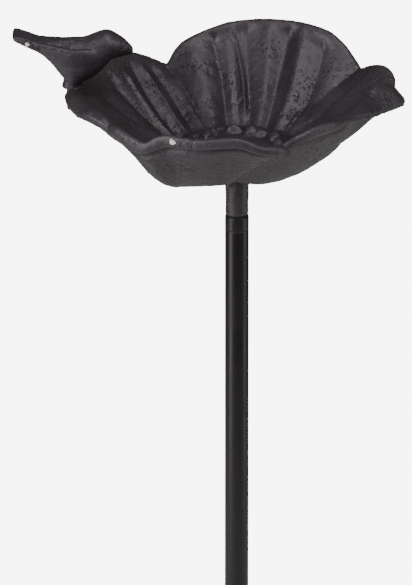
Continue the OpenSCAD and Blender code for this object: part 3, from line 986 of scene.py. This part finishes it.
# %% Rubber and zinc
def mottled(name, colours, gloss, gloss_range, noise_values, bump_mm, metallic):
    material, tree, shader, place = new_material(name)
    mottle = noise(tree, place, *noise_values)
    tree.links.new(mix_colour(tree, mottle, *colours), shader.inputs["Base Color"])
    rough = maths(tree, "ADD", times(tree, mottle, gloss_range), gloss)
    tree.links.new(rough, shader.inputs["Roughness"])
    shader.inputs["Metallic"].default_value = metallic
    add_bump(tree, shader, mottle, bump_mm)
    return material


rubber = mottled("black_rubber", [(0.004, 0.004, 0.0045), (0.009, 0.0085, 0.009)], 0.75, 0.15,
                 (400.0, 3.0), 0.05, 0.0)
zinc = mottled("zinc_plated_steel", [(0.50, 0.50, 0.48), (0.66, 0.66, 0.64)], 0.2, 0.22,
               (650.0, 4.0, 0.65), 0.03, 1.0)
print("finishes:", [m.name for m in (cast_paint, pole_paint, rubber, zinc)])

# %% [markdown]
# ## What repeats: threads and welds
# A screw thread is one ridge that follows a helix, and a weld is one bead laid in ripples round a
# seam. Both are rules, so each is a tree of Geometry Nodes with its sizes as named inputs. A thread
# is a spiral with a small section swept along it, round a core with its ends. A bead is a circle
# whose thickness rises and falls along the way, a little unevenly.


# %% Trees for threads and beads
def tree_of(name, numbers):
    """A tree with named numbers, a whole-number seed and a material as inputs."""
    tree = bpy.data.node_groups.new(name, "GeometryNodeTree")
    tree.interface.new_socket("Geometry", in_out="OUTPUT", socket_type="NodeSocketGeometry")
    for label in numbers:
        tree.interface.new_socket(label, in_out="INPUT", socket_type="NodeSocketFloat")
    tree.interface.new_socket("Seed", in_out="INPUT", socket_type="NodeSocketInt")
    tree.interface.new_socket("Material", in_out="INPUT", socket_type="NodeSocketMaterial")
    return tree, tree.nodes.new("NodeGroupInput").outputs


def feed(tree, made, **values):
    """Set a node's inputs, each from a number or from another node's output."""
    for label, value in values.items():
        socket = made.inputs[label.replace("_", " ")]
        if isinstance(value, bpy.types.NodeSocket):
            tree.links.new(value, socket)
        else:
            socket.default_value = value
    return made


def step(tree, kind, **values):
    return feed(tree, node(tree, kind), **values).outputs[0]


def moved(tree, shape, **offset):
    place = step(tree, "ShaderNodeCombineXYZ", **offset)
    return step(tree, "GeometryNodeTransform", Geometry=shape, Translation=place)


def finish_tree(tree, shape, ins):
    """Lift the shape to its place, make it real and give it its material."""
    lifted = moved(tree, shape, X=ins["Beside"], Z=ins["Base"])
    rounded = step(tree, "GeometryNodeSetShadeSmooth", Geometry=lifted)
    real = step(tree, "GeometryNodeRealizeInstances", Geometry=rounded)
    done = step(tree, "GeometryNodeSetMaterial", Geometry=real, Material=ins["Material"])
    tree.links.new(done, tree.nodes.new("NodeGroupOutput").inputs[0])
    return tree


def thread_tree():
    tree, ins = tree_of("screw_thread", ["Radius", "Pitch", "Length", "Beside", "Base"])
    ridge = times(tree, ins["Pitch"], 0.34)
    middle = maths(tree, "SUBTRACT", ins["Radius"], ridge)
    run = maths(tree, "SUBTRACT", ins["Length"], ins["Pitch"])
    turns = maths(tree, "DIVIDE", run, ins["Pitch"])
    helix = step(tree, "GeometryNodeCurveSpiral", Resolution=20, Rotations=turns,
                 Start_Radius=middle, End_Radius=middle, Height=run)
    upright = step(tree, "GeometryNodeSetCurveNormal", Curve=helix)
    section = step(tree, "GeometryNodeCurvePrimitiveCircle", Resolution=6, Radius=ridge)
    sweep = step(tree, "GeometryNodeCurveToMesh", Curve=upright, Profile_Curve=section, Fill_Caps=True)
    core = step(tree, "GeometryNodeMeshCylinder", Vertices=32, Radius=middle, Depth=ins["Length"])
    both = node(tree, "GeometryNodeJoinGeometry")
    tree.links.new(moved(tree, core, Z=times(tree, ins["Length"], 0.5)), both.inputs[0])
    tree.links.new(moved(tree, sweep, Z=times(tree, ins["Pitch"], 0.5)), both.inputs[0])
    return finish_tree(tree, both.outputs[0], ins)


def bead_tree():
    tree, ins = tree_of("weld_bead", ["Radius", "Bead", "Ripples", "Beside", "Base"])
    steps = times(tree, ins["Ripples"], 8.0)
    seam = step(tree, "GeometryNodeCurvePrimitiveCircle", Resolution=steps, Radius=ins["Radius"])
    section = step(tree, "GeometryNodeCurvePrimitiveCircle", Resolution=10, Radius=ins["Bead"])
    phase = times(tree, node(tree, "GeometryNodeInputIndex").outputs[0], 2 * math.pi / 8)
    ripple = times(tree, maths(tree, "SINE", phase), 0.14)
    chance = feed(tree, node(tree, "FunctionNodeRandomValue"), Seed=ins["Seed"])
    uneven = times(tree, chance.outputs[1], 0.16)
    size = maths(tree, "ADD", maths(tree, "ADD", ripple, uneven), 0.9)
    sweep = step(tree, "GeometryNodeCurveToMesh", Curve=seam, Profile_Curve=section, Scale=size)
    return finish_tree(tree, sweep, ins)


THREAD = thread_tree()
BEAD_TREE = bead_tree()
BEAD_SEED = 7


def grown(name, tree, material, **values):
    """A plain mesh from a tree, with its named inputs set in millimetres, but for the ripples."""
    obj = mesh_object(name, [(0, 0, 0)], [])
    grow = obj.modifiers.new("grow", "NODES")
    grow.node_group = tree
    given = {label: float(value * MM) for label, value in values.items()}
    given.update(Material=material, Seed=BEAD_SEED, Ripples=float(values.get("Ripples", 0)))
    for socket in tree.interface.items_tree:
        if socket.in_out == "INPUT":
            grow[socket.identifier] = given.get(socket.name, 0.0)
    return bake_modifiers(obj)


print("trees:", THREAD.name, BEAD_TREE.name)

# %% [markdown]
# ## The pole
# The tubes are drawn steel, cut square, with softened edges. The fitting at the top of each is
# turned, plugged in and welded round the seam, and its collar is a little fuller than the tube. At
# the ground a flat bar is pressed on and welded, with two prongs through it, and the spike is forged
# to a point. The places come from the CAD boxes, and the radii are those of the boxes too.


# %% Pole shapes
def hoop(name, outline, steps=96):
    """A ring turned about the axis from a closed outline of (radius, height)."""
    outline = np.asarray(outline, float)
    angles = np.linspace(0, 2 * np.pi, steps, endpoint=False)
    count = len(outline)
    points = [(r * math.cos(a), r * math.sin(a), z) for a in angles for r, z in outline]
    faces = []
    for i in range(steps):
        k = (i + 1) % steps
        for j in range(count):
            m = (j + 1) % count
            faces.append((i * count + j, k * count + j, k * count + m, i * count + m))
    return smooth(mesh_object(name, points, faces))


def softened(r_in, r_out, bottom, top, edge):
    """The outline of a ring with rounded edges, counter-clockwise from the inside bottom."""
    nip = edge * 0.3
    return [(r_in, bottom + edge), (r_in + nip, bottom + nip), (r_in + edge, bottom),
            (r_out - edge, bottom), (r_out - nip, bottom + nip), (r_out, bottom + edge),
            (r_out, top - edge), (r_out - nip, top - nip), (r_out - edge, top),
            (r_in + edge, top), (r_in + nip, top - nip), (r_in, top - edge)]


def turned_pin(name, outline, beside=0.0):
    """A closed upright pin from the bottom up, to one side of the axis."""
    return smooth(shifted(turned(name, outline, 48), (beside, 0, 0)))


TUBE_R = node_box("upper_tube")[1][0]
TUBE_BORE_R = 6.5
STUD_R = 4.0
STUD_PITCH = 1.25
PLUG_R = 6.45
for part, body in (("lower", "ground_section"), ("middle", "middle_section"), ("upper", "upper_section")):
    low, high = node_box(part + "_tube")
    tube = hoop(part + "_pole", softened(TUBE_BORE_R, TUBE_R, low[2], high[2], 0.35))
    settle(tube, pole_paint, body, "pole_paint", part + "_tube")
    low, high = node_box(part + "_top_fitting")
    seam, top = node_box(part + "_tube")[1][2], high[2]
    collar = hoop(part + "_collar", [
        (STUD_R + 0.05, low[2]), (PLUG_R - 0.4, low[2]), (PLUG_R, low[2] + 0.6), (PLUG_R, seam - 0.02),
        (TUBE_R - 0.4, seam), (TUBE_R - 0.1, seam + 0.2), (TUBE_R, seam + 0.7), (TUBE_R + 0.03, seam + 2),
        (TUBE_R + 0.06, seam + 5), (TUBE_R, top - 1.2), (TUBE_R - 0.1, top - 0.4), (TUBE_R - 0.35, top - 0.1),
        (TUBE_R - 0.8, top), (STUD_R + 0.05, top)])
    weld = grown(part + "_weld", BEAD_TREE, pole_paint, Radius=TUBE_R - 0.36, Bead=0.42,
                 Ripples=36, Base=seam)
    settle(join(part + "_top", [collar, weld]), pole_paint, body, "pole_paint", part + "_top_fitting")
for name, body in (("lower_joint_stud", "ground_section"), ("upper_joint_stud", "middle_section"),
                   ("bowl_stud", "upper_section")):
    low, high = node_box(name)
    stud = grown(name + "_thread", THREAD, zinc, Radius=high[0], Pitch=STUD_PITCH,
                 Length=high[2] - low[2], Base=low[2])
    settle(stud, zinc, body, "bare_steel", name)
for name, body in (("middle_bottom_fitting", "middle_section"), ("upper_bottom_fitting", "upper_section")):
    low, high = node_box(name)
    nut = hoop(name + "_nut", softened(STUD_R + 0.05, high[0], low[2], high[2], 0.5))
    settle(nut, zinc, body, "bare_steel", name)
for level in ("lower", "upper", "bowl"):
    name, body = level + "_washer", level + "_ring"
    low, high = node_box(name)
    ring = hoop(name + "_rubber", softened(STUD_R + 0.1, high[0], low[2] + 0.01, high[2] - 0.01, 0.3))
    settle(ring, rubber, body, "joint_ring", name)

# %% Screw under the perch
HEAD_H = 2.4
SCREW_R = 2.0
low, high = screw_low, screw_high
thread = grown("screw_thread", THREAD, zinc, Radius=SCREW_R, Pitch=0.7, Length=high[2] - low[2] - HEAD_H,
               Base=low[2] + HEAD_H)
head = turned("screw_head", [(0.01, low[2] + 0.9), (1.2, low[2] + 0.9), (1.5, low[2]), (2.5, low[2]),
                             (3.2, low[2] + 0.5), (3.5, low[2] + 1.3), (3.5, low[2] + HEAD_H),
                             (0.01, low[2] + HEAD_H)], 48)
screw = join("perch_screw", [smooth(head), thread])
shifted(screw, (perch[0], perch[1], 0))
settle(screw, zinc, "bowl", "bare_steel", "bird_screw")

# %% Ground parts
low, high = node_box("ground_spike")
SPIKE_R = high[0]
POINT_LEN = 60
spike = turned_pin("forged_spike", [
    (0.01, low[2]), (0.7, low[2] + 0.1), (1.2, low[2] + 1.5), (2.6, low[2] + 14), (4.3, low[2] + 31),
    (5.9, low[2] + 47), (6.7, low[2] + POINT_LEN - 3), (SPIKE_R, low[2] + POINT_LEN + 4), (SPIKE_R, -0.5),
    (SPIKE_R - 0.4, 0), (PLUG_R, 0.05), (PLUG_R, high[2] - 0.6), (PLUG_R - 0.5, high[2]), (0.01, high[2])])
settle(spike, pole_paint, "ground_section", "pole_paint", "ground_spike")
low, high = node_box("step_bar")
bar_faces = [(0, 3, 2, 1), (4, 5, 6, 7), (0, 1, 5, 4), (1, 2, 6, 5), (2, 3, 7, 6), (3, 0, 4, 7)]
corners = [(x, y, z) for z in (low[2], high[2]) for x, y in
           ((low[0], low[1]), (high[0], low[1]), (high[0], high[1]), (low[0], high[1]))]
bar = mesh_object("step_plate", corners, bar_faces)
rounding = bar.modifiers.new("rounding", "BEVEL")
rounding.width, rounding.segments = 1.2 * MM, 4
bake_modifiers(bar)
PRONG_R = 4.0
prong_x = (node_box("right_prong")[0][0] + node_box("right_prong")[1][0]) / 2
cut(bar, round_bar("tube_hole", (0, 0), TUBE_R + 0.05, low[2] - 3, high[2] + 3),
    round_bar("left_hole", (-prong_x, 0), PRONG_R + 0.05, low[2] - 3, high[2] + 3),
    round_bar("right_hole", (prong_x, 0), PRONG_R + 0.05, low[2] - 3, high[2] + 3))
beads = [grown("tube_weld", BEAD_TREE, pole_paint, Radius=TUBE_R + 0.5, Bead=1.3, Ripples=22,
               Base=high[2] + 0.1)]
for side in (-1, 1):
    beads.append(grown("prong_weld", BEAD_TREE, pole_paint, Radius=PRONG_R + 0.4, Bead=0.9, Ripples=14,
                       Beside=side * prong_x, Base=low[2] - 0.1))
settle(join("step_bar_welded", [bar] + beads), pole_paint, "ground_section", "pole_paint", "step_bar")
for side, name in ((-1, "left_prong"), (1, "right_prong")):
    low, high = node_box(name)
    pin = turned_pin(name + "_forged", [
        (0.01, low[2]), (0.7, low[2] + 0.1), (1.1, low[2] + 1.2), (2.3, low[2] + 12), (3.5, low[2] + 23),
        (PRONG_R, low[2] + 32), (PRONG_R, high[2] - 0.8), (PRONG_R - 0.3, high[2] - 0.1), (0.01, high[2])],
        side * prong_x)
    settle(pin, pole_paint, "ground_section", "pole_paint", name)

# %% [markdown]
# ## Putting the pieces on their bodies
# The casting and the bird ride on the bowl's body, so they turn and rise with it. Every CAD
# node takes a finish too, although a finished piece stands for each.

# %% Settle
settle(casting, cast_paint, "bowl", "cast_paint", "petal_bowl")
settle(bird, cast_paint, "bowl", "cast_paint", "bird_figure")

for name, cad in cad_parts.items():
    steel = name.endswith("stud") or name.endswith("screw")
    finish = zinc if steel else rubber if name.endswith("washer") else pole_paint
    cad.data.materials.clear()
    cad.data.materials.append(finish)

# %% [markdown]

# %% Finish
print("scene done")
